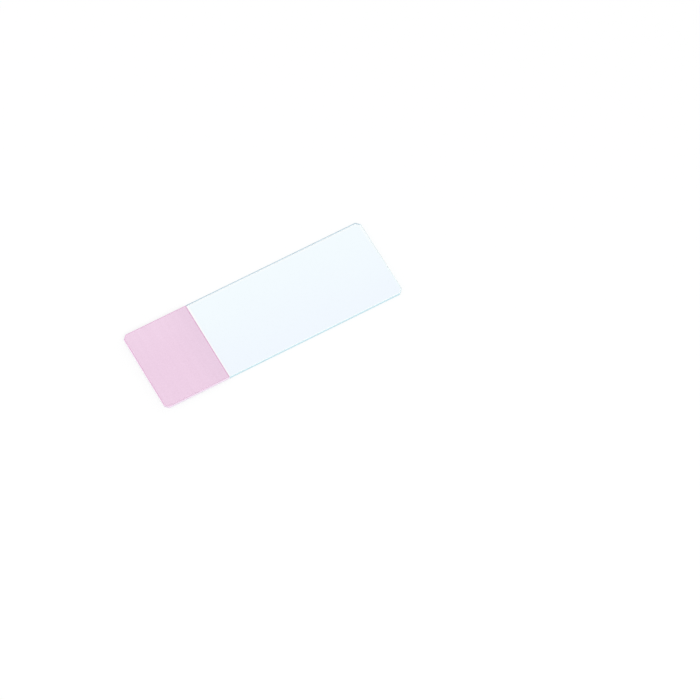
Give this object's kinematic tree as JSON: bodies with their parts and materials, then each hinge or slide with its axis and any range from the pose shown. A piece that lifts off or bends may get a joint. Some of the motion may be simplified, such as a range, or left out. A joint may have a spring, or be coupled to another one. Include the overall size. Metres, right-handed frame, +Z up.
{
  "type": "microscope slide",
  "caption": "Flat rectangular glass plate with clipped corners and ground edges, and a pale pink matt marking area at one end, for holding specimens under a microscope.",
  "frame": {"origin": "the middle of the underside, where the slide lies on a stage or a table", "axes": "+X along the length, away from the marking end; +Y across the width; +Z up, out of the face that carries the marking coat"},
  "size_m": [0.075, 0.025, 0.0011],
  "materials": {
    "slide_glass": "polished",
    "matt_pink_ink": "matte"
  },
  "bodies": {
    "root": {"glass_plate": "slide_glass", "marking_coat": "matt_pink_ink"}
  },
  "joints": []
}
